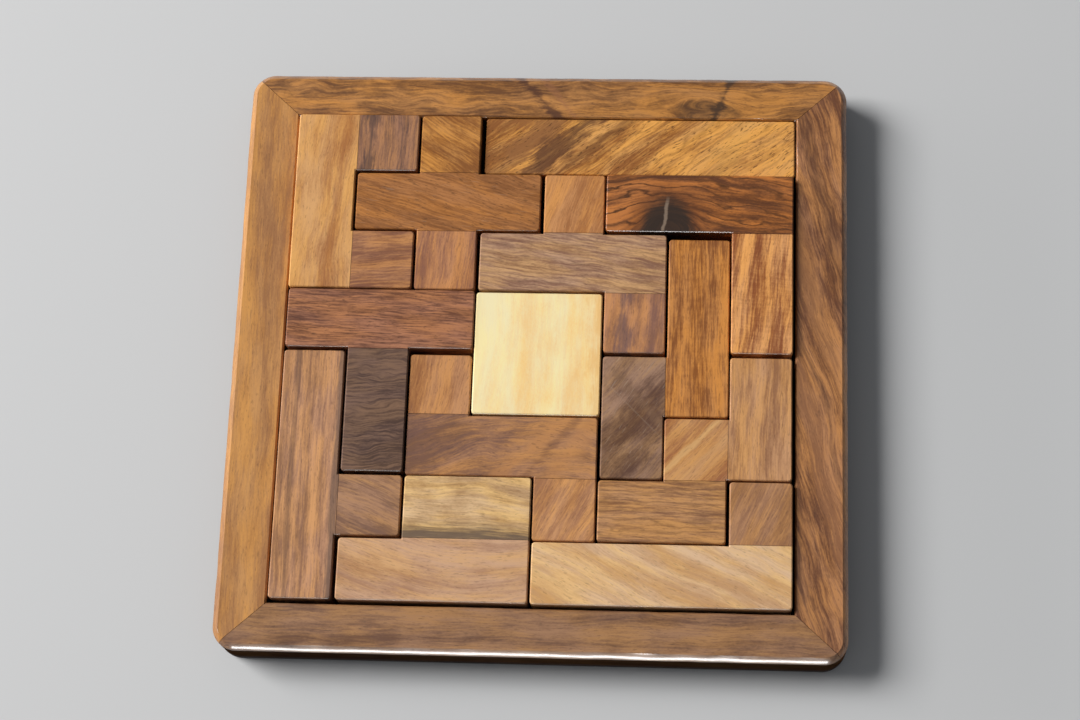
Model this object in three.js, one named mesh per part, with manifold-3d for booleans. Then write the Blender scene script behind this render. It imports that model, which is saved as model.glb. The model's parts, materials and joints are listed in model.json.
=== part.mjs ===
// A tray packing puzzle: twelve pentominoes and one 2 x 2 square fill an 8 x 8 tray.
// Millimetres, +Z up. The tray lies flat with its underside on Z = 0 and its centre on the Z axis.
// Every pentomino is glued up from short blocks of different woods, and each block is its own mesh.

import * as THREE from "three";
import { mergeVertices } from "three/addons/utils/BufferGeometryUtils.js";
import Module from "manifold-3d";

// ---- Driving dimensions ----

const cellsAcross = 8;           // cells along each side of the tray
const cellPitch = 16;            // centre to centre of two neighbouring cells
const piecePlay = 0.6;           // gap between two pieces that both sit in the middle of their cells
const wallClearance = 0.3;       // from the outermost cell edge to the rail, on each side
const pieceThickness = 10.2;     // a piece planed to the common thickness
const pieceArris = 0.3;          // softening of a piece's top and bottom edges
const pieceCornerRadius = 0.8;   // rounding of a piece's outside corners, seen from above
const glueLine = 0.1;            // gap between two glued faces

const sideRailWidth = 13;        // the left and right rails, seen from above
const endRailWidth = 11.8;       // the near and far rails, seen from above
const railHeight = 9;            // above the base panel
const railOuterRound = 2;        // rounding of the rails' outer top edge
const railInnerArris = 0.5;      // chamfer on the rails' inner top edge
const trayCornerRadius = 6;      // rounded outside corners of the tray, seen from above
const baseThickness = 3;         // the panel under the rails
const baseArris = 0.5;           // chamfer on the base panel's lower edge

const cornerSegments = 2;        // facets on a piece's small outside corners
const trayCornerSegments = 8;    // facets on each of the tray's outside corners
const railRoundSegments = 4;     // facets across the rails' outer rounding

// ---- Sizes that follow from them ----

const pocketSide = cellsAcross * cellPitch + 2 * wallClearance;
const trayWidth = pocketSide + 2 * sideRailWidth;
const trayDepth = pocketSide + 2 * endRailWidth;
const trayHeight = baseThickness + railHeight;

// ---- Woods ----

const woods = {
  honey: { color: 0xc48f5c, roughness: 0.5 },
  golden: { color: 0xaf7942, roughness: 0.5 },
  tan: { color: 0xcea579, roughness: 0.5 },
  chestnut: { color: 0x9e7051, roughness: 0.5 },
  umber: { color: 0x6d5547, roughness: 0.55 },
  straw: { color: 0xf4d79d, roughness: 0.45 },
};

// ---- The pieces ----

// A block is given by its name, its wood, its first column and row, and how many columns and rows it
// covers. Columns count from the left and rows from the far side of the tray. trim shortens one side
// of a block by that many millimetres. drift is how far the piece has slid from the middle of its
// cells, as shares of the play, and ease is the share of its own half of the play that it gives up.
const pieces = [
  {
    name: "u_piece", extraThickness: 0.4, drift: [-0.5, 0.67],
    blocks: [
      { name: "u_bar", wood: "honey", at: [0, 0], size: [1, 3] },
      { name: "u_arm_upper", wood: "chestnut", at: [1, 0], size: [1, 1] },
      { name: "u_arm_lower", wood: "chestnut", at: [1, 2], size: [1, 1] },
    ],
  },
  {
    name: "x_piece", extraThickness: 0.1, drift: [-0.42, 0.6],
    blocks: [
      { name: "x_bar", wood: "golden", at: [1, 1], size: [3, 1] },
      { name: "x_arm_upper", wood: "golden", at: [2, 0], size: [1, 1] },
      { name: "x_arm_lower", wood: "honey", at: [2, 2], size: [1, 1] },
    ],
  },
  {
    name: "i_piece", extraThickness: -1.2, drift: [0.5, 0.5],
    blocks: [
      { name: "i_bar", wood: "golden", at: [3, 0], size: [5, 1] },
    ],
  },
  {
    name: "f_piece", extraThickness: 0, drift: [0.17, 0.58],
    blocks: [
      { name: "f_bar", wood: "chestnut", at: [3, 2], size: [3, 1] },
      { name: "f_arm_upper", wood: "honey", at: [4, 1], size: [1, 1] },
      { name: "f_arm_lower", wood: "chestnut", at: [5, 3], size: [1, 1] },
    ],
  },
  {
    name: "v_piece", extraThickness: 0.6, drift: [-0.17, 0.83],
    blocks: [
      { name: "v_bar", wood: "umber", at: [5, 1], size: [3, 1] },
      { name: "v_leg", wood: "honey", at: [7, 2], size: [1, 2] },
    ],
  },
  {
    name: "n_piece", extraThickness: 0, drift: [0.17, 0],
    blocks: [
      { name: "n_bar", wood: "golden", at: [6, 2], size: [1, 3], trim: { top: 0.8 } },
      { name: "n_tail", wood: "umber", at: [5, 4], size: [1, 2] },
    ],
  },
  {
    name: "t_piece", extraThickness: 0.6, drift: [0, 1],
    blocks: [
      { name: "t_bar", wood: "chestnut", at: [0, 3], size: [3, 1] },
      { name: "t_stem", wood: "umber", at: [1, 4], size: [1, 2] },
    ],
  },
  {
    name: "square_piece", extraThickness: 0.2, drift: [0, 0.1], ease: 0.2,
    blocks: [
      { name: "square_block", wood: "straw", at: [3, 3], size: [2, 2] },
    ],
  },
  {
    name: "y_piece", extraThickness: 0, drift: [-0.17, 0.67],
    blocks: [
      { name: "y_bar", wood: "honey", at: [0, 4], size: [1, 4], trim: { right: 0.5 } },
      { name: "y_branch", wood: "chestnut", at: [1, 6], size: [1, 1] },
    ],
  },
  {
    name: "z_piece", extraThickness: -0.1, drift: [-0.17, 0],
    blocks: [
      { name: "z_bar", wood: "chestnut", at: [2, 5], size: [3, 1] },
      { name: "z_arm_upper", wood: "honey", at: [2, 4], size: [1, 1], trim: { top: 0.3 } },
      { name: "z_arm_lower", wood: "honey", at: [4, 6], size: [1, 1] },
    ],
  },
  {
    name: "w_piece", extraThickness: 0.1, drift: [-0.33, 0.17],
    blocks: [
      { name: "w_upper", wood: "honey", at: [7, 4], size: [1, 2] },
      { name: "w_middle", wood: "tan", at: [6, 5], size: [1, 1] },
      { name: "w_lower", wood: "chestnut", at: [5, 6], size: [2, 1] },
    ],
  },
  {
    name: "p_piece", extraThickness: 0.3, drift: [0, 0.5],
    blocks: [
      { name: "p_bar", wood: "tan", at: [1, 7], size: [3, 1], trim: { left: 0.4 } },
      { name: "p_pair", wood: "tan", at: [2, 6], size: [2, 1] },
    ],
  },
  {
    name: "l_piece", extraThickness: 0.3, drift: [0, 0.33],
    blocks: [
      { name: "l_bar", wood: "tan", at: [4, 7], size: [4, 1] },
      { name: "l_foot", wood: "chestnut", at: [7, 6], size: [1, 1] },
    ],
  },
];

// The rails, by quarter turns from the far one.
const railWoods = { rail_top: "golden", rail_left: "honey", rail_bottom: "chestnut", rail_right: "umber" };

// ---- Solids ----

const wasm = await Module();
wasm.setup();

// A closed three.js geometry as a solid that can be cut and joined.
function solidOf(geometry) {
  const bare = geometry.clone();
  bare.deleteAttribute("normal");
  bare.deleteAttribute("uv");
  const merged = mergeVertices(bare);
  const mesh = new wasm.Mesh({
    numProp: 3,
    vertProperties: new Float32Array(merged.attributes.position.array),
    triVerts: new Uint32Array(merged.index.array),
  });
  return new wasm.Manifold(mesh);
}

// The same the other way round, for drawing.
function geometryOf(solid) {
  const mesh = solid.getMesh();
  const indexed = new THREE.BufferGeometry();
  indexed.setAttribute("position", new THREE.BufferAttribute(mesh.vertProperties, 3));
  indexed.setIndex(new THREE.BufferAttribute(mesh.triVerts, 1));
  const geometry = indexed.toNonIndexed();
  geometry.computeVertexNormals();
  return geometry;
}

// A box between two corners.
function boxSolid([left, front, bottom], [right, back, top]) {
  const box = new THREE.BoxGeometry(right - left, back - front, top - bottom);
  box.translate((left + right) / 2, (front + back) / 2, (bottom + top) / 2);
  return solidOf(box);
}

// An outline pushed up from Z = 0, with both of its ends softened inwards.
function softenedPrism(outline, height, softening, softeningSegments, arcSegments) {
  const prism = new THREE.ExtrudeGeometry(outline, {
    depth: height - 2 * softening,
    bevelEnabled: true,
    bevelSize: softening,
    bevelThickness: softening,
    bevelOffset: -softening,
    bevelSegments: softeningSegments,
    curveSegments: arcSegments,
    steps: 1,
  });
  prism.translate(0, 0, softening);
  return solidOf(prism);
}

// ---- Outlines ----

// A closed outline through the given corners, counter-clockwise, with its outside corners rounded.
function roundedOutline(corners, radius) {
  const outline = new THREE.Shape();
  corners.forEach((corner, index) => {
    const before = corners.at(index - 1);
    const after = corners[(index + 1) % corners.length];
    const arriving = corner.clone().sub(before).normalize();
    const leaving = after.clone().sub(corner).normalize();
    const first = index === 0;
    if (arriving.cross(leaving) > 0) {
      const start = corner.clone().addScaledVector(arriving, -radius);
      const centre = start.clone().add(new THREE.Vector2(-arriving.y, arriving.x).multiplyScalar(radius));
      const startAngle = Math.atan2(-arriving.x, arriving.y);
      if (first) {
        outline.moveTo(start.x, start.y);
      } else {
        outline.lineTo(start.x, start.y);
      }
      outline.absarc(centre.x, centre.y, radius, startAngle, startAngle + Math.PI / 2, false);
    } else if (first) {
      outline.moveTo(corner.x, corner.y);
    } else {
      outline.lineTo(corner.x, corner.y);
    }
  });
  outline.closePath();
  return outline;
}

// The four sides of a cell, as steps around it counter-clockwise. start is the corner that the side
// begins at and inward points from the side to the middle of the cell, both with Y up the tray.
const cellSides = [
  { side: "bottom", neighbour: [0, 1], start: [0, -1], along: [1, 0], inward: [0, 1] },
  { side: "right", neighbour: [1, 0], start: [1, -1], along: [0, 1], inward: [-1, 0] },
  { side: "top", neighbour: [0, -1], start: [1, 0], along: [-1, 0], inward: [0, -1] },
  { side: "left", neighbour: [-1, 0], start: [0, 0], along: [0, -1], inward: [1, 0] },
];

// Every cell side on the rim of a piece, keyed by the grid corner that it starts at.
function rimOf(blocks, inset) {
  const owner = new Map();
  for (const block of blocks) {
    for (let column = block.at[0]; column < block.at[0] + block.size[0]; column += 1) {
      for (let row = block.at[1]; row < block.at[1] + block.size[1]; row += 1) {
        owner.set(`${column},${row}`, { block, column, row });
      }
    }
  }
  const rim = new Map();
  for (const { block, column, row } of owner.values()) {
    for (const { side, neighbour, start, along, inward } of cellSides) {
      if (!owner.has(`${column + neighbour[0]},${row + neighbour[1]}`)) {
        const from = [column + start[0], -row + start[1]];
        const to = [from[0] + along[0], from[1] + along[1]];
        rim.set(from.join(), { from, to, along, inward, inset: inset + (block.trim?.[side] ?? 0) });
      }
    }
  }
  return rim;
}

// The corners of a piece's outline in millimetres, with each side moved in by its own inset.
// No pentomino touches itself corner to corner, so each grid corner starts one side at most.
function pieceCorners(blocks, inset) {
  const rim = rimOf(blocks, inset);
  const edges = [...rim.values()].slice(0, 1);
  while (edges.length < rim.size) {
    edges.push(rim.get(edges.at(-1).to.join()));
  }
  const corners = [];
  edges.forEach((edge, index) => {
    const before = edges.at(index - 1);
    const gridCorner = new THREE.Vector2(...edge.from).multiplyScalar(cellPitch);
    const turns = before.along.join() !== edge.along.join();
    if (turns) {
      gridCorner.addScaledVector(new THREE.Vector2(...before.inward), before.inset);
      gridCorner.addScaledVector(new THREE.Vector2(...edge.inward), edge.inset);
      corners.push(gridCorner);
    } else if (before.inset !== edge.inset) {
      const inward = new THREE.Vector2(...edge.inward);
      corners.push(gridCorner.clone().addScaledVector(inward, before.inset));
      corners.push(gridCorner.clone().addScaledVector(inward, edge.inset));
    }
  });
  return corners;
}

// ---- Meshes ----

function meshOf(name, wood, geometry) {
  const { color, roughness } = woods[wood];
  const material = new THREE.MeshStandardMaterial({ color, roughness, metalness: 0 });
  const mesh = new THREE.Mesh(geometry, material);
  mesh.name = name;
  return mesh;
}

// One piece, as a group of the blocks that it is glued up from.
function buildPiece({ extraThickness, drift, ease = 1, blocks }) {
  const thickness = pieceThickness + extraThickness;
  const inset = ease * piecePlay / 2;
  const outline = roundedOutline(pieceCorners(blocks, inset), pieceCornerRadius);
  const whole = softenedPrism(outline, thickness, pieceArris, 1, cornerSegments);
  const group = new THREE.Group();
  for (const { name, wood, at, size } of blocks) {
    const left = at[0] * cellPitch + glueLine / 2;
    const right = (at[0] + size[0]) * cellPitch - glueLine / 2;
    const back = -at[1] * cellPitch - glueLine / 2;
    const front = -(at[1] + size[1]) * cellPitch + glueLine / 2;
    const room = boxSolid([left, front, -thickness], [right, back, 2 * thickness]);
    group.add(meshOf(name, wood, geometryOf(whole.intersect(room))));
  }
  group.position.set(drift[0] * piecePlay, drift[1] * piecePlay, 0);
  return group;
}

// The tray's outline, which the rails and the base panel share.
function trayOutline() {
  const right = trayWidth / 2;
  const back = trayDepth / 2;
  const corners = [[-right, -back], [right, -back], [right, back], [-right, back]];
  return roundedOutline(corners.map(([x, y]) => new THREE.Vector2(x, y)), trayCornerRadius);
}

// The base panel: the lower end of a softened prism that is cut off square at the top.
function buildBase() {
  const whole = softenedPrism(trayOutline(), trayHeight, baseArris, 1, trayCornerSegments);
  const room = boxSolid([-trayWidth, -trayDepth, -baseThickness], [trayWidth, trayDepth, baseThickness]);
  return meshOf("base_panel", "chestnut", geometryOf(whole.intersect(room)));
}

// The four rails as one ring, with its outer edge rounded and its inner edge chamfered.
function railRing() {
  const railBottom = baseThickness + glueLine;
  const ring = softenedPrism(trayOutline(), trayHeight, railOuterRound, railRoundSegments, trayCornerSegments)
    .intersect(boxSolid([-trayWidth, -trayDepth, railBottom], [trayWidth, trayDepth, 2 * trayHeight]))
    .subtract(boxSolid(
      [-pocketSide / 2, -pocketSide / 2, -trayHeight],
      [pocketSide / 2, pocketSide / 2, 2 * trayHeight],
    ));

  // A four-sided frustum whose slopes chamfer the pocket's upper edge.
  const chamferDepth = 2 * railInnerArris;
  const circumradius = (side) => side / Math.SQRT2;
  const chamfer = new THREE.CylinderGeometry(
    circumradius(pocketSide + 2 * chamferDepth), circumradius(pocketSide), chamferDepth, 4,
  );
  chamfer.rotateX(Math.PI / 2);
  chamfer.rotateZ(Math.PI / 4);
  chamfer.translate(0, 0, trayHeight + chamferDepth / 2 - railInnerArris);
  return ring.subtract(solidOf(chamfer));
}

// One rail of the ring, kept between the two mitres at its ends. Each mitre runs from an inner corner
// to an outer one, so the wedge is a trapezoid that widens outwards from inside the pocket. Turns count
// quarter turns from the far rail. Moving the wedge out leaves half a glue line at each mitre.
function railGeometry(ring, turns) {
  const [own, other] = turns % 2 === 0 ? [endRailWidth, sideRailWidth] : [sideRailWidth, endRailWidth];
  const along = (share) => pocketSide / 2 + share * other;
  const out = (share) => pocketSide / 2 + share * own + glueLine / Math.SQRT2;
  const wedge = new THREE.Shape();
  wedge.moveTo(-along(-1), out(-1));
  wedge.lineTo(along(-1), out(-1));
  wedge.lineTo(along(2), out(2));
  wedge.lineTo(-along(2), out(2));
  wedge.closePath();
  const mitres = new THREE.ExtrudeGeometry(wedge, { depth: 2 * trayHeight, bevelEnabled: false });
  mitres.rotateZ(turns * Math.PI / 2);
  return geometryOf(ring.intersect(solidOf(mitres)));
}

// ---- The puzzle ----

const puzzle = new THREE.Group();

const tray = new THREE.Group();
tray.add(buildBase());
const ring = railRing();
Object.entries(railWoods).forEach(([name, wood], turns) => {
  tray.add(meshOf(name, wood, railGeometry(ring, turns)));
});
puzzle.add(tray);

// The pieces stand on the base panel, measured from the far left corner of the first cell.
const field = new THREE.Group();
field.position.set(-cellsAcross * cellPitch / 2, cellsAcross * cellPitch / 2, baseThickness);
for (const piece of pieces) {
  field.add(buildPiece(piece));
}
puzzle.add(field);

export default puzzle;
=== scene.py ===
# %% [markdown]
# # A pentomino tray puzzle in wood
# The real object is a nearly square tray with four mitred rails, packed with thirteen loose pieces.
# Twelve are pentominoes, five squares each, glued up from short blocks of rosewood, and one is a pale
# 2 x 2 square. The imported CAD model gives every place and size. We build a finer copy of each block
# around it, and most of the work goes into the wood itself, because every block was cut from a
# different board.

# %% Load the frame
import json
import math
from collections import namedtuple

import bpy
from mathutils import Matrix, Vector, noise


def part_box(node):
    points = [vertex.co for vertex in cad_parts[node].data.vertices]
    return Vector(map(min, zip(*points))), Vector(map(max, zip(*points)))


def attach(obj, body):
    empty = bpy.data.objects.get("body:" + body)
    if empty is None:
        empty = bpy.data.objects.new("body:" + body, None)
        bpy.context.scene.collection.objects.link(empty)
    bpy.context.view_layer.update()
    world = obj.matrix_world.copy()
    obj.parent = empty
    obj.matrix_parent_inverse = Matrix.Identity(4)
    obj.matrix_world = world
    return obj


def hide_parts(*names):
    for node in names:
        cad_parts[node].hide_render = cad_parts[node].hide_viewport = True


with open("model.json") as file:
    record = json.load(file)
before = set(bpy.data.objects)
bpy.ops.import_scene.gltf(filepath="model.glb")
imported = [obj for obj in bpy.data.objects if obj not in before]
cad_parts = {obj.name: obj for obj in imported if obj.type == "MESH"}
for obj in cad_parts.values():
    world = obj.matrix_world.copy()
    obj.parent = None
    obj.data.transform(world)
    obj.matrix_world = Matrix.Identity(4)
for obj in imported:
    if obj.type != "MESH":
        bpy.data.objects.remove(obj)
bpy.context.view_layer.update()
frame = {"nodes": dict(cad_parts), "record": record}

bodies = frame["record"]["behaviour"]["bodies"]
print("bodies:", len(bodies), "nodes:", len(frame["nodes"]))

# %% [markdown]
# ## Sizes that everything follows
# The one bar that is five cells long and one cell wide tells us both the pitch of the cells and the play
# between pieces: its length is five pitches less the play, and its width one pitch less the play. Two
# glued blocks tell us the width of a glue line. The roundings are a maker's habit, so we name them here.

# %% Measure the pitch, the play and the glue line
MM = 0.001


def size_of(node):
    low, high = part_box(node)
    return high - low


pitch = (size_of("i_bar").x - size_of("i_bar").y) / 4
play = pitch - size_of("i_bar").y
glue_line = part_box("u_arm_upper")[0].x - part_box("u_bar")[1].x
shoulder = (play - glue_line) / 2        # from a glued face back to the free edge beside it

piece_corner = 0.8 * MM                  # outside corners of a piece, seen from above
piece_arris = 0.3 * MM                   # top and bottom edges of a piece
tray_corner = 6 * MM                     # outside corners of the tray, seen from above
rail_round = 2 * MM                      # outer top edge of the rails
rail_arris = 0.5 * MM                    # inner top edge of the rails
base_arris = 0.5 * MM                    # lower edge of the base panel

print(f"pitch {pitch / MM:.2f} mm, play {play / MM:.2f} mm, glue line {glue_line / MM:.2f} mm")

# %% [markdown]
# ## The camera
# The tray is seen almost square on, from a little below its middle and a touch to the right, with a long
# lens, so that its far edge is only slightly narrower than its near edge. An unturned Blender camera
# looks straight down with the tray's far edge at the top, so three small turns are all that it needs.

# %% Place the camera
stand = Vector((37.9, -172.5, 570.0)) * MM
turns = [math.radians(angle) for angle in (17.15, 3.21, 1.99)]     # tipped, leaned, turned

bpy.ops.object.camera_add(location=stand, rotation=turns)
camera = bpy.context.object
camera.name = "camera"
camera.data.lens = 77.84
camera.data.sensor_width = 36
bpy.context.scene.camera = camera
print(f"camera {stand.length:.3f} m from the tray")

# %% [markdown]
# ## Floor and light
# The setting is a plain pale floor with soft light. A large softbox far to the left and a little behind
# fills the top faces and leaves the near and right-hand sides dark, so every piece stands out. Two low
# strips, on the left and in front, draw a bright line along the edges that face them. The front one
# is kept out of diffuse light, so that it leaves the shading alone, and it is small and close to the
# floor, so that the polished tops don't mirror it into a view from behind.

# %% Add the floor and the lights
bpy.context.scene.view_settings.view_transform = "Standard"


def studio_floor():
    bpy.ops.mesh.primitive_plane_add(size=6, location=(0, 0, 0))
    floor = bpy.context.object
    floor.name = "floor"
    material = bpy.data.materials.new("floor_paper")
    material.use_nodes = True
    shader = material.node_tree.nodes["Principled BSDF"]
    shader.inputs["Base Color"].default_value = (0.62, 0.63, 0.64, 1)
    shader.inputs["Roughness"].default_value = 0.9
    shader.inputs["Specular IOR Level"].default_value = 0.0
    floor.data.materials.append(material)


def softbox(name, place, target, width, height, power, color):
    bpy.ops.object.light_add(type="AREA", location=place)
    light = bpy.context.object
    light.name = name
    light.data.shape = "RECTANGLE"
    light.data.size = width
    light.data.size_y = height
    light.data.energy = power
    light.data.color = color
    light.rotation_euler = (Vector(target) - Vector(place)).to_track_quat("-Z", "Y").to_euler()
    return light


studio_floor()
softbox("key", place=(-1.9, 0.56, 1.6), target=(0, 0, 0), width=1.2, height=1.2, power=77,
        color=(1.0, 0.985, 0.965))
softbox("left_strip", place=(-0.9, 0.25, 0.2), target=(0, 0, 0), width=1.0, height=0.1, power=2.5,
        color=(1.0, 0.94, 0.92))
front_strip = softbox("front_strip", place=(-0.06, -0.95, 0.09), target=(-0.06, 0, 0), width=0.7,
                      height=0.13, power=10, color=(1.0, 0.99, 0.98))
front_strip.visible_diffuse = False

world = bpy.data.worlds.new("studio")
bpy.context.scene.world = world
world.use_nodes = True
world.node_tree.nodes["Background"].inputs["Color"].default_value = (0.85, 0.87, 0.9, 1)
world.node_tree.nodes["Background"].inputs["Strength"].default_value = 0.18

# %% [markdown]
# ## Tools for modelling
# Blender's operators act on whatever is selected, so each helper first clears the selection. In edit
# mode we pick faces or edges by a rule, such as "upright edges at an outside corner", and then call the
# same operator that a menu would.

# %% Selection helpers
SHARP = math.radians(30)     # edges that turn more than this stay crisp
SAME_PLANE = math.radians(1)
SANDED = 0.35                # an edge between a plain chamfer (0.25) and a quarter round (0.5)
CUT_SLACK = 0.0001 * MM      # how near a vertex may be to a cut before the cut takes it in
MERGE = 0.001 * MM           # vertices closer than this are one
FLAT = 0.99                  # how far up the normal of a level face points at least


def pick(*objects):
    bpy.ops.object.select_all(action="DESELECT")
    for item in objects:
        item.select_set(True)
    bpy.context.view_layer.objects.active = objects[-1]


def add_box(name, low, high):
    bpy.ops.object.select_all(action="DESELECT")
    low, high = Vector(low), Vector(high)
    bpy.ops.mesh.primitive_cube_add(size=1, location=(low + high) / 2)
    box = bpy.context.object
    box.name = name
    bpy.ops.transform.resize(value=high - low)
    bpy.ops.object.transform_apply(location=True, rotation=True, scale=True)
    return box


def add_modifier(item, kind, **settings):
    pick(item)
    modifier = item.modifiers.new(kind.lower(), kind)
    for key, value in settings.items():
        setattr(modifier, key, value)
    bpy.ops.object.modifier_apply(modifier=modifier.name)


def combine(item, tool, operation):
    add_modifier(item, "BOOLEAN", object=tool, operation=operation, solver="EXACT")
    bpy.data.objects.remove(tool)


def copy_of(item, name):
    twin = item.copy()
    twin.data = item.data.copy()
    twin.name = name
    bpy.context.scene.collection.objects.link(twin)
    return twin


def select_parts(item, mode, rule):
    """Goes to edit mode with the vertices, edges or faces that pass the rule selected. The rule is given
    the mesh as it is now and returns the test, because edit mode gives the mesh new vertices."""
    pick(item)
    bpy.ops.object.mode_set(mode="EDIT")
    bpy.ops.mesh.select_mode(type=mode)
    bpy.ops.mesh.select_all(action="DESELECT")
    bpy.ops.object.mode_set(mode="OBJECT")
    mesh = item.data
    parts = {"VERT": mesh.vertices, "EDGE": mesh.edges, "FACE": mesh.polygons}[mode]
    test = rule(mesh)
    chosen = [part for part in parts if test(part)]
    for part in chosen:
        part.select = True
    bpy.ops.object.mode_set(mode="EDIT")
    return len(chosen)


def leave_edit():
    bpy.ops.object.mode_set(mode="OBJECT")


def merge_flats(item):
    """Joins faces that lie in one plane, so that each flat side is one face again."""
    select_parts(item, "FACE", lambda mesh: lambda face: True)
    bpy.ops.mesh.remove_doubles(threshold=MERGE)
    bpy.ops.mesh.dissolve_limited(angle_limit=SAME_PLANE)
    leave_edit()


# %% Rules that pick edges by their place
STEEP = 0.5                  # the share of an upright edge's length that has to be height
SQUARE_ON = 0.5              # below this cosine, two faces meet at a real corner


def edge_faces(mesh):
    """For every edge, the faces that it borders."""
    borders = {}
    for face in mesh.polygons:
        for key in face.edge_keys:
            borders.setdefault(tuple(sorted(key)), []).append(face)
    return borders


def upright_outside_corners(mesh):
    """Upright edges where the solid bulges outwards."""
    borders = edge_faces(mesh)

    def test(edge):
        ends = [mesh.vertices[index].co for index in edge.vertices]
        if abs(ends[0].z - ends[1].z) < STEEP * (ends[0] - ends[1]).length:
            return False
        first, second = borders[tuple(sorted(edge.vertices))]
        across = Vector(second.center) - Vector(first.center)
        return first.normal.dot(second.normal) < SQUARE_ON and first.normal.dot(across) < 0
    return test


def rim(up, beyond=0.0, within=math.inf):
    """Edges round the flat faces that look up (1) or down (-1), between two squares round the origin."""
    def rule(mesh):
        borders = edge_faces(mesh)

        def test(edge):
            looks = [face.normal.z * up > FLAT for face in borders[tuple(sorted(edge.vertices))]]
            ends = [mesh.vertices[index].co for index in edge.vertices]
            reach = max(max(abs(end.x), abs(end.y)) for end in ends)
            return sum(looks) == 1 and beyond <= reach < within
        return test
    return rule


def bevel_selected(offset, segments, profile=0.5):
    bpy.ops.mesh.bevel(offset=offset, segments=segments, profile=profile, affect="EDGES", clamp_overlap=True)
    leave_edit()


# %% [markdown]
# ## A piece before it is cut into blocks
# On the bench the blocks are glued first and the whole pentomino is then sanded, so its softened edges
# run round the outside and stop at nothing. We do the same: join plain boxes into one solid, round its
# upright outside corners, then soften the rims of its top and bottom.

# %% Join the boxes of one piece
BRIDGE = 1 * MM              # how far the box over a glue line reaches into each block


def glued_sides(node, mates):
    """Each (axis, end, mate) where the block meets a block of the same piece across a glue line."""
    low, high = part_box(node)
    found = []
    for mate in mates:
        mate_low, mate_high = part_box(mate)
        for axis in (0, 1):
            other = 1 - axis
            overlap = min(high[other], mate_high[other]) - max(low[other], mate_low[other])
            if overlap > pitch / 2 and abs(mate_low[axis] - high[axis]) < 2 * glue_line:
                found.append((axis, 1, mate))
            if overlap > pitch / 2 and abs(low[axis] - mate_high[axis]) < 2 * glue_line:
                found.append((axis, 0, mate))
    return found


def free_box(node, mates):
    """The block's box, with every glued side drawn back to the line of the free edge beside it."""
    corners = [Vector(corner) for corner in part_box(node)]
    for axis, end in {side[:2] for side in glued_sides(node, mates)}:
        corners[end][axis] += -shoulder if end else shoulder
    return corners


def whole_piece(body):
    nodes = bodies[body]
    mates = {node: [other for other in nodes if other != node] for node in nodes}
    free = {node: free_box(node, mates[node]) for node in nodes}
    whole = add_box(body + "_whole", *free[nodes[0]])
    for node in nodes[1:]:
        combine(whole, add_box("more", *free[node]), "UNION")
    for node in nodes:
        for axis, end, mate in glued_sides(node, mates[node]):
            if end == 1:
                other = 1 - axis
                low, high = free[node][0].copy(), free[mate][1].copy()
                low[axis] = free[node][1][axis] - BRIDGE
                high[axis] = free[mate][0][axis] + BRIDGE
                low[other] = max(free[node][0][other], free[mate][0][other])
                high[other] = min(free[node][1][other], free[mate][1][other])
                combine(whole, add_box("bridge", low, high), "UNION")
    merge_flats(whole)
    return whole


# %% [markdown]
# ## Edges that look handled
# Years of handling round a wooden edge, and not evenly. A bevel gives the softened edge, but a perfect one
# looks machined. So we slice the solid into a fine grid, which gives its long edges vertices along
# their length, and sink those by a smooth noise. The flat faces dip by a few hundredths of a
# millimetre as well, as planed wood does.

# %% Round, soften and wear the edges
PIECE_GRID = 2 * MM
RAIL_GRID = 2 * MM


def grid_lines(low, high, step):
    count = max(1, round((high - low) / step))
    return [low + (high - low) * index / count for index in range(1, count)]


def slice_into_grid(item, step):
    """Adds edges across the whole solid, a few millimetres apart, so that its edges can wear unevenly."""
    corners = [Vector(corner) for corner in item.bound_box]
    for axis in (0, 1):
        low = min(corner[axis] for corner in corners)
        high = max(corner[axis] for corner in corners)
        for place in grid_lines(low, high, step):
            point = Vector((0, 0, 0))
            normal = Vector((0, 0, 0))
            point[axis] = place
            normal[axis] = 1
            bpy.ops.mesh.select_all(action="SELECT")
            bpy.ops.mesh.bisect(plane_co=point, plane_no=normal, threshold=CUT_SLACK)


def grid_item(item, step):
    pick(item)
    bpy.ops.object.mode_set(mode="EDIT")
    slice_into_grid(item, step)
    leave_edit()


def soften_piece(whole):
    select_parts(whole, "EDGE", upright_outside_corners)
    bevel_selected(piece_corner, segments=4)
    for up in (1, -1):
        select_parts(whole, "EDGE", rim(up))
        bevel_selected(piece_arris, segments=3, profile=SANDED)
    grid_item(whole, PIECE_GRID)


def wear_edges(item, depth, grain, flat_dip):
    """Sinks each vertex along its normal: upper edges, where they slant, by an uneven amount, and level
    faces by a slow shallow wave."""
    top = max(vertex.co.z for vertex in item.data.vertices)
    normals = [vertex.normal.copy() for vertex in item.data.vertices]
    elsewhere = Vector((7, 3, 1))
    for vertex, normal in zip(item.data.vertices, normals):
        slant = 4 * (normal.z * (1 - abs(normal.z))) if vertex.co.z > top - 2 * rail_round else 0
        rough = 0.5 + 0.5 * noise.noise(vertex.co / grain)
        slow = 0.5 + 0.5 * noise.noise(vertex.co / (6 * grain) + elsewhere)
        sink = depth * max(0, slant) * rough ** 2
        if normal.z > FLAT:
            sink = flat_dip * slow
        vertex.co -= normal * sink


# %% [markdown]
# ## Sawing a piece into its blocks
# Each block is a copy of the finished piece that we cut at its glue lines and close there, which leaves a
# hair's breadth between neighbours. A cut also goes through other arms of the piece, so whatever
# is left outside the block's own box is deleted.

# %% Saw it apart along the glue lines
OUTSIDE = 0.02 * MM          # a vertex this far outside the block's box belongs to another arm


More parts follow.
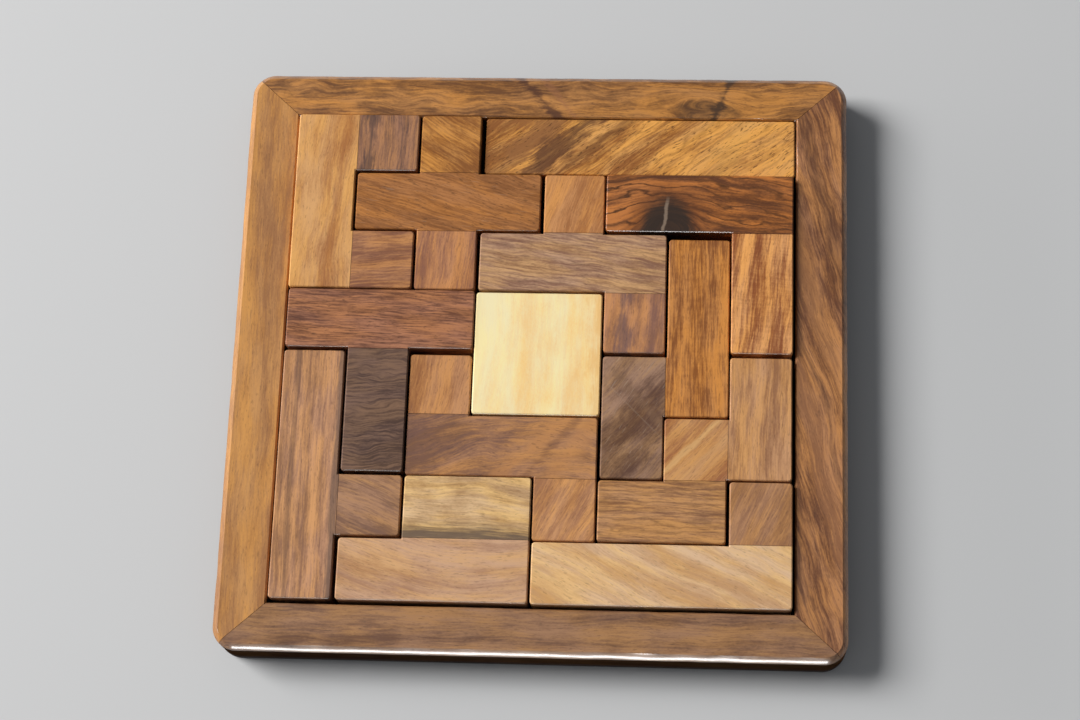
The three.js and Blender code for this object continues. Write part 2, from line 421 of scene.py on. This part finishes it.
def saw_block(whole, node, mates):
    """A copy of the whole piece, cut off at the block's glued faces and closed there."""
    block = copy_of(whole, node + "_wood")
    low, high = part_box(node)
    pick(block)
    bpy.ops.object.mode_set(mode="EDIT")
    for axis, end in sorted({side[:2] for side in glued_sides(node, mates)}):
        plane = Vector((0, 0, 0))
        outwards = Vector((0, 0, 0))
        plane[axis] = (low, high)[end][axis]
        outwards[axis] = 1 if end else -1
        bpy.ops.mesh.select_all(action="SELECT")
        bpy.ops.mesh.bisect(plane_co=plane, plane_no=outwards, clear_outer=True, use_fill=True,
                            threshold=CUT_SLACK)
    leave_edit()
    outside = select_parts(block, "VERT", lambda mesh: lambda vertex: any(
        not low[axis] - OUTSIDE < vertex.co[axis] < high[axis] + OUTSIDE for axis in (0, 1)))
    if outside:
        bpy.ops.mesh.delete(type="VERT")
    leave_edit()
    return block


def finish_shape(item):
    pick(item)
    bpy.ops.object.shade_smooth_by_angle(angle=SHARP)
    add_modifier(item, "WEIGHTED_NORMAL", keep_sharp=True, weight=80)


def model_piece(body):
    whole = whole_piece(body)
    soften_piece(whole)
    wear_edges(whole, depth=0.08 * MM, grain=5 * MM, flat_dip=0.02 * MM)
    blocks = []
    for node in bodies[body]:
        block = saw_block(whole, node, [other for other in bodies[body] if other != node])
        finish_shape(block)
        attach(block, body)
        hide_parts(node)
        blocks.append(block)
    bpy.data.objects.remove(whole)
    return blocks


# %% Model all thirteen pieces
wood_blocks = {}
for body in bodies:
    if body != "tray":
        for block in model_piece(body):
            wood_blocks[block.name.removesuffix("_wood")] = block
print("blocks:", len(wood_blocks), "faces:", sum(len(block.data.polygons) for block in wood_blocks.values()))

# %% [markdown]
# ## The tray
# The frame is shaped as one ring and mitred afterwards, so the rounding runs straight through the
# corners. Each rail is a copy of the ring kept between two slanting cuts.

# %% Shape the ring and cut the mitres
CHAMFERED = 0.3              # the rails' outer edge, nearly a plain chamfer
rails = ["rail_top", "rail_left", "rail_bottom", "rail_right"]
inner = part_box("rail_right")[0].x
rail_width = Vector((size_of("rail_right").x, size_of("rail_top").y))
print(f"rails {rail_width.x / MM:.1f} mm wide at the sides and {rail_width.y / MM:.1f} mm at the ends")


def ring_solid():
    low = Vector([min(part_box(rail)[0][axis] for rail in rails) for axis in range(3)])
    high = Vector([max(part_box(rail)[1][axis] for rail in rails) for axis in range(3)])
    ring = add_box("ring", low, high)
    select_parts(ring, "EDGE", upright_outside_corners)
    bevel_selected(tray_corner, segments=16)
    combine(ring, add_box("pocket", (-inner, -inner, -high.z), (inner, inner, 2 * high.z)), "DIFFERENCE")
    merge_flats(ring)
    middle = inner + pitch / 4
    select_parts(ring, "EDGE", rim(1, beyond=middle))
    bevel_selected(rail_round, segments=6, profile=CHAMFERED)
    select_parts(ring, "EDGE", rim(1, within=middle))
    bevel_selected(rail_arris, segments=3, profile=SANDED)
    grid_item(ring, RAIL_GRID)
    wear_edges(ring, depth=0.22 * MM, grain=5 * MM, flat_dip=0.04 * MM)
    return ring


def mitre(node, side):
    """A point and an outward normal for the mitre at one end of a rail, half a glue line back from the
    line between the inner and the outer corner."""
    middle = sum(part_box(node), Vector((0, 0, 0))) / 2
    out = 0 if abs(middle.x) > abs(middle.y) else 1
    along = 1 - out
    outwards = math.copysign(1, middle[out])
    corner = Vector((0, 0, 0))
    corner[out] = outwards * inner
    corner[along] = side * inner
    normal = Vector((0, 0, 0))
    normal[along] = side * rail_width[out]
    normal[out] = -outwards * rail_width[along]
    normal.normalize()
    return corner - normal * glue_line / 2, normal


def cut_rail(ring, node):
    """Keeps the part of the ring between the two mitres of one side."""
    rail = copy_of(ring, node + "_wood")
    pick(rail)
    bpy.ops.object.mode_set(mode="EDIT")
    for side in (1, -1):
        point, normal = mitre(node, side)
        bpy.ops.mesh.select_all(action="SELECT")
        bpy.ops.mesh.bisect(plane_co=point, plane_no=normal, clear_outer=True, use_fill=True,
                            threshold=CUT_SLACK)
    leave_edit()
    finish_shape(rail)
    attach(rail, "tray")
    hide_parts(node)
    return rail


ring = ring_solid()
for node in rails:
    wood_blocks[node] = cut_rail(ring, node)
bpy.data.objects.remove(ring)


# %% [markdown]
# ## The base panel
# One thin board lies under the rails and the pieces. Only its edge and the dark glimpses between the pieces
# show, so a rounded plate with a softened lower edge is enough.

# %% Model the base panel
def model_base():
    low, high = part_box("base_panel")
    base = add_box("base_panel_wood", low, high)
    select_parts(base, "EDGE", upright_outside_corners)
    bevel_selected(tray_corner, segments=16)
    select_parts(base, "EDGE", rim(-1))
    bevel_selected(base_arris, segments=2)
    finish_shape(base)
    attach(base, "tray")
    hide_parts("base_panel")
    return base


wood_blocks["base_panel"] = model_base()
print("tray parts:", [name for name in wood_blocks if "rail" in name or "base" in name])

# %% [markdown]
# ## Writing shader maths as Python
# A wood needs dozens of small sums. Wrapping each socket in a class whose +, -, * and / add the Math
# nodes lets us write them as ordinary expressions and read them again later.

# %% The class that wraps a socket
class Value:
    def __init__(self, finish, socket):
        self.finish = finish
        self.socket = socket

    def sum(self, operation, first, second):
        return self.finish.add("ShaderNodeMath", {"operation": operation}, {0: first, 1: second})

    def __add__(self, other):
        return self.sum("ADD", self, other)

    def __sub__(self, other):
        return self.sum("SUBTRACT", self, other)

    def __rsub__(self, other):
        return self.sum("SUBTRACT", other, self)

    def __mul__(self, other):
        return self.sum("MULTIPLY", self, other)

    def __truediv__(self, other):
        return self.sum("DIVIDE", self, other)

    def __rtruediv__(self, other):
        return self.sum("DIVIDE", other, self)

    def __pow__(self, other):
        return self.sum("POWER", self, other)

    __radd__ = __add__
    __rmul__ = __mul__


class Finish:
    """A material under construction."""

    def __init__(self, name):
        self.material = bpy.data.materials.new(name)
        self.material.use_nodes = True
        self.tree = self.material.node_tree
        self.surface = self.tree.nodes["Principled BSDF"]

    def fill(self, socket, value):
        if isinstance(value, Value):
            self.tree.links.new(value.socket, socket)
        else:
            socket.default_value = value

    def add(self, kind, settings, sockets, output=0):
        """Adds any node: its settings first, then the values or links of its sockets."""
        node = self.tree.nodes.new(kind)
        for key, value in settings.items():
            setattr(node, key, value)
        for key, value in sockets.items():
            self.fill(node.inputs[key], value)
        return Value(self, node.outputs[output])


# %% [markdown]
# ## A few shared patterns
# Everything below is made from soft noise, smooth steps that turn noise into masks, and blends from one
# colour to another, so each of these gets a short name.

# %% Noise, steps and blends
def separate(finish, vector):
    return [finish.add("ShaderNodeSeparateXYZ", {}, {0: vector}, output=axis) for axis in range(3)]


def absolute(finish, value):
    return finish.add("ShaderNodeMath", {"operation": "ABSOLUTE"}, {0: value})


def vector_of(finish, x, y, z):
    return finish.add("ShaderNodeCombineXYZ", {}, {0: x, 1: y, 2: z})


def soft_noise(finish, x, y, z, detail=2.0, roughness=0.5):
    """Noise between about 0.2 and 0.8, in coordinates already divided by its grain size."""
    return finish.add("ShaderNodeTexNoise", {"noise_dimensions": "3D"},
                      {"Vector": vector_of(finish, x, y, z), "Scale": 1.0, "Detail": detail,
                       "Roughness": roughness})


def between(finish, value, low, high):
    """0 below low, 1 above high, and a smooth step between."""
    return finish.add("ShaderNodeMapRange", {"interpolation_type": "SMOOTHSTEP"},
                      {"Value": value, "From Min": low, "From Max": high, "To Min": 0.0, "To Max": 1.0})


def blend_colors(finish, share, first, second):
    return finish.add("ShaderNodeMix", {"data_type": "RGBA"}, {0: share, 6: first, 7: second}, output=2)


def tone(text):
    """A colour written as six hex digits, as a linear colour with alpha."""
    parts = [int(text[index:index + 2], 16) / 255 for index in (0, 2, 4)]
    return tuple(p / 12.92 if p <= 0.04045 else ((p + 0.055) / 1.055) ** 2.4 for p in parts) + (1.0,)


# %% [markdown]
# ## Rosewood: coordinates that follow the grain
# Grain is a pattern that is long one way and short the other two, so each block gets coordinates in
# millimetres that are turned to run along its own grain. They start from Object coordinates, so the
# pattern fills the whole block like real wood and stays with it when the piece is lifted. Its lanes, the
# courses that the fibres take, wander a little, may bend as an arch, and part round a knot the way
# water flows round a stone.

# %% Lay out one board
OUT_OF_TRUE = (5, 3)         # degrees by which a board leans from the axes of its log
SEED_STEP = 17.3             # how far apart in the noise two boards are cut
WANDER_ASPECT = 0.6          # how wide a wave of the grain is for its length
WANDER_DEPTH = 30.0          # mm through the board before the wave changes
WANDER_REACH = 5             # mm that the grain moves for a whole step of the noise
KNOT_CORE = 0.3              # keeps the flow finite at the middle of a knot

Knot = namedtuple("Knot", "along across size stretch dark")


class Wood(Finish):
    """The finish of one block, with its coordinates in millimetres from the middle of the block: right,
    back and up as the tray lies, and along, across and depth as the grain runs."""

    def __init__(self, name, node, angle, seed):
        super().__init__(name)
        low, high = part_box(node)
        self.thickness = (high.z - low.z) / MM
        self.shift = seed * SEED_STEP
        place = self.add("ShaderNodeTexCoord", {}, {}, output=3)
        level = self.add("ShaderNodeMapping", {"vector_type": "TEXTURE"},
                         {"Vector": place, "Location": (low + high) / 2, "Scale": (MM, MM, MM)})
        self.right, self.back, self.up = separate(self, level)
        turns = [math.radians(turn) for turn in (*OUT_OF_TRUE, angle)]
        grain = self.add("ShaderNodeMapping", {"vector_type": "TEXTURE"},
                         {"Vector": level, "Rotation": turns})
        self.along, self.across, self.depth = separate(self, grain)


def set_lanes(wood, wave, wave_length, curve, knot):
    """Gives every point its lane, the distance across the board of the fibre that it lies on."""
    wood.wander = soft_noise(wood, wood.along / wave_length + wood.shift,
                             wood.across / (wave_length * WANDER_ASPECT), wood.depth / WANDER_DEPTH)
    wood.lane = wood.across + (wood.wander - 0.5) * (WANDER_REACH * wave) + wood.along * wood.along * curve
    if knot:
        off_along = (wood.along - knot.along) / knot.stretch
        off_lane = wood.lane - knot.across
        wood.ring = (off_along * off_along + off_lane * off_lane) / (knot.size * knot.size)
        wood.lane = off_lane * (1 - 1 / (wood.ring + KNOT_CORE)) + knot.across


# %% [markdown]
# ## Rosewood: shade and colour
# Four noises of different sizes add up to one shade: broad bands, fibres, patches and a fine grit.
# Some boards add ripples across the grain, which shimmer in sawn rosewood, or get steadily lighter
# towards one side. The shade picks a colour between the board's dark and light tones, and a slow tint makes
# some areas warmer and others duller, as heartwood fades unevenly.

# %% Add up the shade
FIBRE_LENGTH = 8.0                   # mm
PATCH = (9.0, 5.0, 6.0)              # mm along, across and through the board, as in the next ones
GRIT = (0.7, 0.35, 0.4)
HUE = (16.0, 4.0, 8.0)
HUE_START = 9.0                      # keeps the tint apart from the other noises
RIPPLE = (5.0, 7.0)                  # mm across and through the board
DULL = (0.97, 0.95, 1.1, 1)          # these two multiply the colour of the wood
WARM = (1.1, 1.01, 0.8, 1)


def make_noises(wood, length, band, fibre_gap):
    wood.broad = soft_noise(wood, wood.along / length + wood.shift, wood.lane / band,
                            wood.depth / (band * 1.6), 6.0, 0.6)
    fibres = soft_noise(wood, wood.along / FIBRE_LENGTH, wood.lane / fibre_gap + wood.shift,
                        wood.depth / fibre_gap, 3.0, 0.6)
    wood.fine = between(wood, fibres, 0.22, 0.78)
    wood.patches = soft_noise(wood, wood.along / PATCH[0], wood.across / PATCH[1] + wood.shift,
                              wood.depth / PATCH[2], 4.0, 0.6)
    wood.hue = soft_noise(wood, wood.along / HUE[0] + wood.shift, wood.lane / HUE[1] + HUE_START,
                          wood.depth / HUE[2], 3.0)


def shade_of(wood, bands, fibre, mottle, ripple, ripple_gap, lean):
    """The shade of every point, from 0 for the dark tone to 1 for the light one."""
    grit = soft_noise(wood, wood.along / GRIT[0] + wood.shift, wood.across / GRIT[1], wood.depth / GRIT[2])
    shade = 0.5 + (wood.broad - 0.5) * (2.6 * bands) + (wood.fine - 0.5) * (0.7 * fibre)
    shade = shade + (wood.patches - 0.5) * (1.6 * mottle) + (grit - 0.5) * 0.3
    shade = shade + wood.right * lean[0] + wood.back * lean[1]
    if ripple:
        waves = soft_noise(wood, wood.along / ripple_gap + wood.shift, wood.lane / RIPPLE[0],
                           wood.depth / RIPPLE[1])
        shade = shade + (waves - 0.5) * (1.8 * ripple)
    return shade


def color_of(wood, shade, dark, light, glow):
    color = blend_colors(wood, between(wood, shade, 0.08, 0.92), tone(dark), tone(light))
    warmth = between(wood, wood.hue + (wood.fine - 0.5) * 0.2, 0.32, 0.68)
    tint = blend_colors(wood, warmth, DULL, WARM)
    return wood.add("ShaderNodeMix", {"data_type": "RGBA", "blend_type": "MULTIPLY"},
                    {0: glow, 6: color, 7: tint}, output=2)


# %% [markdown]
# ## Rosewood: lines and stripes
# Thin dark veins follow the lanes at a regular gap that two noises disturb. A streak is a stripe of
# another colour along one lane, such as sapwood at the edge of a board. A slash is a stripe across the grain,
# placed by the block's own right and back, such as the flame figure where a branch began or a long scratch.
# Noise frays the sides of both.

# %% Draw veins, streaks and slashes
Streak = namedtuple("Streak", "lane width share color")
Slash = namedtuple("Slash", "right slant width share color")


def draw_veins(wood, color, share, gap, deep):
    drifted = wood.lane / gap + (wood.hue - 0.5) * 3 + (wood.patches - 0.5) * 1.2
    contour = wood.add("ShaderNodeMath", {"operation": "PINGPONG"}, {0: drifted, 1: 0.5})
    strong = between(wood, wood.broad + (wood.fine - 0.5) * 0.2, 0.3, 0.6)
    mask = (1 - between(wood, contour, 0.0, 0.2)) * strong
    return blend_colors(wood, mask * share, color, deep)


def draw_streak(wood, color, streak):
    gap = absolute(wood, wood.lane - streak.lane)
    ragged = gap + (wood.broad - 0.5) * (3 * streak.width) + (wood.fine - 0.5) * (0.4 * streak.width)
    mask = 1 - between(wood, ragged, streak.width * 0.2, streak.width)
    return blend_colors(wood, mask * streak.share, color, tone(streak.color))


def draw_slash(wood, color, slash):
    gap = absolute(wood, wood.right - slash.right - wood.back * slash.slant)
    ragged = gap + (wood.patches - 0.5) * (3 * slash.width) + (wood.fine - 0.5) * (0.5 * slash.width)
    mask = 1 - between(wood, ragged, slash.width * 0.1, slash.width)
    return blend_colors(wood, mask * slash.share, color, tone(slash.color))


# %% [markdown]
# ## Rosewood: knots and cracks
# Where the saw meets a branch, the wood is nearly black. A knot shows the branch end on, as a dark core
# within the parted lanes. A heart is a branch cut at the block's edge, so only half of it shows, as a dark
# dome with a warm rim, and the crack that dries into it stands out pale with dust.

# %% Draw a knot, a heart and a crack
Heart = namedtuple("Heart", "right foot reach height")
Crack = namedtuple("Crack", "right low high width")
CHAR = "2b211b"
HEART_RIM = "5a3018"
HEART_CORE = "2c241e"
DUST = "8f7b69"


def draw_knot(wood, color, knot):
    core = wood.ring + (wood.fine - 0.5) * 0.4 + (wood.patches - 0.5) * 3
    return blend_colors(wood, (1 - between(wood, core, 0.3, 1.2)) * knot.dark, color, tone(CHAR))


def draw_heart(wood, color, heart):
    off_right = (wood.right - heart.right) / heart.reach
    off_back = (wood.back - heart.foot) / heart.height
    slope = (off_right * off_right + off_back * off_back) ** 0.7
    slope = slope + (wood.patches - 0.5) * 0.7 + (wood.fine - 0.5) * 0.12
    color = blend_colors(wood, (1 - between(wood, slope, 0.8, 1.7)) * 0.6, color, tone(HEART_RIM))
    return blend_colors(wood, (1 - between(wood, slope, 0.5, 1.05)) * 0.9, color, tone(HEART_CORE))


def draw_crack(wood, color, crack):
    bend = (wood.wander - 0.5) * 2 - wood.back * 0.12 + (wood.patches - 0.5) * 1.5
    aside = absolute(wood, wood.right - crack.right + bend)
    room = between(wood, wood.back, crack.low, crack.low + 1)
    room = room * (1 - between(wood, wood.back, crack.high - 3, crack.high))
    mask = (1 - between(wood, aside, crack.width * 0.3, crack.width)) * room
    return blend_colors(wood, mask * 0.8, color, tone(DUST))


# %% [markdown]
# ## Rosewood: surface
# Short dark pores lie in the fibres and are slightly hollow, and some blocks carry pale scratches, painted
# partly as glints of sheen. A thin coat of polish gives the faces their sheen and the edges their bright
# lines. The rails are polished only on top: below the rounded edge their sides, outside and towards the
# pocket, are painted dark as shade and left dull, so there a second shader, with no gloss at all, takes over.

# %% Cut the pores and polish the wood
PORE = (1.8, 0.3, 0.3)       # mm along, across and through the board
NICK_LENGTH = 7.0            # mm
NICK_GAP = 0.4               # mm
# the pale colour of scratches and dust, and of painted glints of sheen
NICK_AND_GLINT_COLOR = "b5a08c"
# the dark colour painted on the rails' sides as shade
SIDE_SHADE = "1c100a"
SIDE_FROM = 0.24             # the painted shade on a rail's side fades out between these two shares of the rail's height, counted from its middle
SIDE_TO = 0.38               # rail's height, counted from its middle


# Pale nicks: partly real scratches and dust, partly painted glints of sheen.
def draw_scratches_and_glints(wood, color, share):
    nicks_and_glints = soft_noise(wood, wood.along / NICK_LENGTH + wood.across / 2.0,
                       wood.across / NICK_GAP - wood.along / 2.0, wood.depth, 1.0)
    return blend_colors(wood, between(wood, nicks_and_glints, 0.66, 0.74) * share, color, tone(NICK_AND_GLINT_COLOR))


def polish(wood, color, pore_mask, pores, rough, coat, gloss):
    surface = wood.surface.inputs
    wood.fill(surface["Base Color"], color)
    wood.fill(surface["Roughness"], rough + pore_mask * 0.2 + (wood.fine - 0.5) * 0.08)
    relief = wood.fine * 0.25 - pore_mask * pores
    bump = wood.add("ShaderNodeBump", {}, {"Strength": 0.5, "Distance": 0.04 * MM, "Height": relief})
    wood.fill(surface["Normal"], bump)
    surface["IOR"].default_value = 1.47
    surface["Coat Weight"].default_value = coat
    surface["Coat Roughness"].default_value = 0.18
    surface["Specular IOR Level"].default_value = gloss


# Painted shade: a rail's sides, outside and towards the pocket, get a dark colour in a second, dull shader.
def paint_side_shade(wood, color, share):
    side = 1 - between(wood, wood.up / wood.thickness, SIDE_FROM, SIDE_TO)
    dark = blend_colors(wood, share, color, tone(SIDE_SHADE))
    dull = wood.add("ShaderNodeBsdfPrincipled", {},
                    {"Base Color": dark, "Roughness": 0.9, "Specular IOR Level": 0.0})
    polished = Value(wood, wood.surface.outputs[0])
    both = wood.add("ShaderNodeMixShader", {}, {0: side, 1: polished, 2: dull})
    wood.fill(wood.tree.nodes["Material Output"].inputs["Surface"], both)


# %% The whole recipe
def wood_finish(name, node, dark, light, angle=0, seed=0, band=6.0, bands=1.0, length=80.0,
                wave=1.0, wave_length=25.0, curve=0.0, lines=0.0, line_gap=2.5, fibre=0.5, fibre_gap=0.5,
                mottle=0.3, glow=0.8, ripple=0.0, ripple_gap=1.1, pores=0.3, lean=(0.0, 0.0), knot=None,
                heart=None, crack=None, streaks=(), slashes=(), rough=0.46, coat=0.15, gloss=0.28,
                side_shade=0.0, scratches_and_glints=0.0):
    """Sizes are in millimetres and angles in degrees. The rest are strengths, where 1 is full."""
    wood = Wood(name, node, angle, seed)
    deep = tuple(0.3 * channel for channel in tone(dark)[:3]) + (1.0,)
    set_lanes(wood, wave, wave_length, curve, knot)
    make_noises(wood, length, band, fibre_gap)
    shade = shade_of(wood, bands, fibre, mottle, ripple, ripple_gap, lean)
    color = color_of(wood, shade, dark, light, glow)
    if lines:
        color = draw_veins(wood, color, lines, line_gap, deep)
    for streak in streaks:
        color = draw_streak(wood, color, streak)
    for slash in slashes:
        color = draw_slash(wood, color, slash)
    if knot:
        color = draw_knot(wood, color, knot)
    if heart:
        color = draw_heart(wood, color, heart)
    if crack:
        color = draw_crack(wood, color, crack)
    pits = soft_noise(wood, wood.along / PORE[0], wood.lane / PORE[1] + wood.shift, wood.depth / PORE[2], 1.0)
    pore_mask = between(wood, pits, 0.62, 0.7)
    color = blend_colors(wood, pore_mask * pores, color, deep)
    # pale scratches, partly painted glints of sheen
    if scratches_and_glints:
        color = draw_scratches_and_glints(wood, color, scratches_and_glints)
    polish(wood, color, pore_mask, pores, rough, coat, gloss)
    # painted shade on the rails' sides
    if side_shade:
        paint_side_shade(wood, color, side_shade)
    return wood.material


# %% [markdown]
# ## One board for each block
# A rosewood log gives anything from straw to near black, and the maker plainly chose neighbours that
# differ. Each entry names a dark and a light tone of one board, the way its grain runs, in degrees
# anticlockwise from straight across the tray, and what is special about its figure.

# %% The boards
boards = {
    "u_bar": dict(dark="a8703f", light="deaa6a", angle=86, band=8.0, bands=0.9, fibre=0.4, mottle=0.4),
    "u_arm_upper": dict(dark="674b40", light="b4835d", angle=88, band=4.0, bands=0.7, fibre=0.6,
        slashes=[Slash(right=-4.5, slant=0.05, width=2.2, share=0.6, color="4a3a38")]),
    "u_arm_lower": dict(dark="87593f", light="c08a5c", angle=6, band=5.0, bands=0.6, fibre=0.8,
        mottle=0.6),
    "x_bar": dict(dark="86552b", light="ba7e46", angle=-16, band=5.0, bands=0.6, fibre=0.8, mottle=0.3,
        pores=0.5, scratches_and_glints=0.15),
    "x_arm_upper": dict(dark="8c5828", light="d0944c", angle=-35, band=6.0, bands=0.8, mottle=1.0,
        fibre=0.7),
    "x_arm_lower": dict(dark="91624a", light="d0945f", angle=80, band=6.0, bands=0.8, fibre=0.5),
    "i_bar": dict(dark="935c2b", light="ebae5f", angle=36, band=7.0, bands=0.6, length=50, wave=1.2,
        fibre=0.6, mottle=0.5, pores=0.7, lean=(0.006, 0.0), lines=0.3,
        slashes=[Slash(right=-30.0, slant=0.9, width=9.0, share=0.6, color="9a6a40"),
        Slash(right=-21.0, slant=1.1, width=5.5, share=0.75, color="5f3d29"),
        Slash(right=-12.0, slant=1.2, width=2.6, share=0.5, color="6f4828"),
        Slash(right=24.0, slant=0.6, width=5.0, share=0.35, color="e6ae60")]),
    "f_bar": dict(dark="8a644c", light="cda57e", angle=-8, band=3.0, bands=0.35, fibre=0.8, fibre_gap=0.6,
        wave=0.5, wave_length=14, lines=0.3, line_gap=1.6),
    "f_arm_upper": dict(dark="a86f3e", light="d89c60", angle=76, band=8.0, bands=0.6, fibre=0.5,
        mottle=0.5),
    "f_arm_lower": dict(dark="8d6551", light="cb9366", angle=84, band=6.0, mottle=0.7, fibre=0.3,
        glow=0.9, slashes=[Slash(right=-3.0, slant=0.0, width=2.5, share=0.5, color="6a5558")]),
    "v_bar": dict(dark="623a20", light="c87e3e", angle=0, coat=0.6, band=4.5, wave=1.0, lines=0.9,
        line_gap=2.4, length=45, knot=Knot(along=-8.0, across=-9.0, size=8.5, stretch=1.2, dark=0.0),
        heart=Heart(right=-8.0, foot=-8.5, reach=8.5, height=12.0),
        crack=Crack(right=-8.2, low=-8.0, high=2.5, width=0.6)),
    "v_leg": dict(dark="90542f", light="f1b16d", angle=84, band=4.5, bands=1.0, wave=0.5, fibre=0.6,
        ripple=0.15, ripple_gap=0.6),
    "n_bar": dict(dark="8c562b", light="d4924d", angle=90, band=4.0, bands=0.8, wave=0.4, fibre=0.9,
        ripple=0.15, mottle=0.5),
    "n_tail": dict(dark="654838", light="ae8a6b", angle=48, band=7.0, bands=0.5, fibre=0.3, mottle=0.8,
        scratches_and_glints=0.3, slashes=[Slash(right=2.0, slant=-1.0, width=0.28, share=0.22, color="a08a76"),
        Slash(right=5.5, slant=-0.9, width=1.6, share=0.35, color="8a6a50")]),
    "t_bar": dict(dark="6e4632", light="b47c58", angle=-2, band=4.0, bands=0.4, fibre=1.1, fibre_gap=0.42,
        mottle=0.5, wave=0.4, pores=0.5, lean=(0.003, 0.0)),
    "t_stem": dict(dark="4f3a31", light="816452", angle=3, band=8.0, bands=0.5, length=40, wave=0.9,
        wave_length=9, fibre=1.0, fibre_gap=0.45, pores=0.0, glow=0.5, lean=(-0.008, 0.006)),
    "square_block": dict(dark="fdd38c", light="fff2bc", angle=88, band=9.0, bands=0.7, pores=0.05,
        fibre=0.15, mottle=0.5, glow=0.4, rough=0.38, lean=(-0.008, 0.004),
        slashes=[Slash(right=17.5, slant=0.0, width=6.0, share=0.5, color="efbd74")]),
    "y_bar": dict(dark="90694f", light="d39f72", angle=90, band=3.5, bands=0.8, length=140, wave=0.3,
        fibre=0.5, mottle=0.4, streaks=[Streak(lane=-6.6, width=1.5, share=0.6, color="6f5a4e"),
        Streak(lane=4.6, width=0.9, share=0.4, color="6a4e3e")]),
    "y_branch": dict(dark="83614a", light="b58a65", angle=-20, band=5.0, bands=0.6, fibre=0.7,
        mottle=0.6),
    "z_bar": dict(dark="7c5a49", light="c28e5e", angle=6, band=6.0, bands=0.5, wave=1.5, wave_length=18,
        fibre=0.5, mottle=0.6, lean=(0.01, 0.0), curve=0.006,
        slashes=[Slash(right=8.0, slant=1.1, width=3.4, share=0.55, color="c98d55"),
        Slash(right=12.5, slant=0.9, width=2.2, share=0.35, color="6e4834"),
        Slash(right=18.0, slant=0.7, width=3.5, share=0.4, color="c88c55")]),
    "z_arm_upper": dict(dark="986642", light="cc9562", angle=80, band=6.0, bands=0.8, fibre=0.6,
        mottle=0.6),
    "z_arm_lower": dict(dark="a4734f", light="daa36d", angle=62, band=6.0, bands=0.7, fibre=0.5,
        mottle=0.5),
    "w_upper": dict(dark="9e704b", light="d7a471", angle=89, band=5.0, bands=0.9, wave=0.5, fibre=0.6),
    "w_middle": dict(dark="a06945", light="d3a068", angle=47, band=5.0, bands=0.8, wave=0.5, fibre=0.5,
        slashes=[Slash(right=-2.0, slant=1.0, width=1.4, share=0.6, color="ecbe80"),
        Slash(right=4.0, slant=1.0, width=0.8, share=0.35, color="e0ae72")]),
    "w_lower": dict(dark="886041", light="c99764", angle=-2, band=3.5, bands=0.7, fibre=0.9, wave=0.6,
        lines=0.3, line_gap=2.2),
    "p_bar": dict(dark="b18663", light="d6ad85", angle=-8, band=6.0, bands=0.8, curve=-0.006, fibre=0.5,
        mottle=0.5),
    "p_pair": dict(dark="b38d5e", light="e9c690", angle=-4, band=5.0, bands=0.8, fibre=0.5, mottle=0.8,
        streaks=[Streak(lane=-6.0, width=4.5, share=0.3, color="8a7048"),
        Streak(lane=-7.2, width=3.4, share=0.9, color="6c5a4c")]),
    "l_bar": dict(dark="cca06f", light="eac697", angle=-26, band=5.0, bands=0.9, wave=1.0, lines=0.12,
        line_gap=3.0, fibre=0.4, mottle=0.3),
    "l_foot": dict(dark="986e4e", light="ca9869", angle=70, band=6.0, bands=0.8, fibre=0.5, mottle=0.5),
    # Each rail's sides are painted dark as shade, by the share that its entry gives.
    "rail_top": dict(dark="724a27", light="c68b49", angle=-1, band=6.0, bands=0.7, wave=2.0, fibre=0.8,
        mottle=0.7, knot=Knot(along=42, across=-2.0, size=3.4, stretch=2.6, dark=0.45), lines=0.18,
        line_gap=3.2, coat=1.0, side_shade=0.8,
        slashes=[Slash(right=-2.0, slant=-0.9, width=2.4, share=0.8, color="522f20"),
        Slash(right=3.0, slant=-0.8, width=1.6, share=0.5, color="a06a45"),
        Slash(right=45.5, slant=0.4, width=1.8, share=0.8, color="3c2a20")]),
    "rail_left": dict(dark="9c6b3d", light="ce9755", angle=90, band=7.0, bands=0.8, wave=0.8, fibre=0.4,
        mottle=0.3, coat=1.0, side_shade=0.8),
    "rail_bottom": dict(dark="704f3a", light="ad835c", angle=0, band=6.0, bands=0.7, wave=0.8, fibre=0.5,
        mottle=0.5, coat=1.0, side_shade=0.85),
    "rail_right": dict(dark="6e452d", light="c48c5a", angle=106, band=6.0, bands=0.9, length=60, wave=1.4,
        fibre=0.7, coat=1.0, side_shade=0.8, lean=(0.012, -0.0008),
        streaks=[Streak(lane=-11.0, width=3.0, share=0.4, color="5a3822"),
        Streak(lane=-2.6, width=2.6, share=0.35, color="d0935c"),
        Streak(lane=3.5, width=1.5, share=0.35, color="5a3822"),
        Streak(lane=8.0, width=3.0, share=0.35, color="cc9060"),
        Streak(lane=20.0, width=3.0, share=0.25, color="5c4030")]),
    "base_panel": dict(dark="2a1b13", light="3d2a1e", angle=0, band=6.0, rough=0.9, coat=0.0, gloss=0.1),
}

for number, (node, board) in enumerate(boards.items()):
    block = wood_blocks[node]
    block.data.materials.clear()
    block.data.materials.append(wood_finish("wood_" + node, node, seed=number + 1, **board))
print("boards:", len(boards))
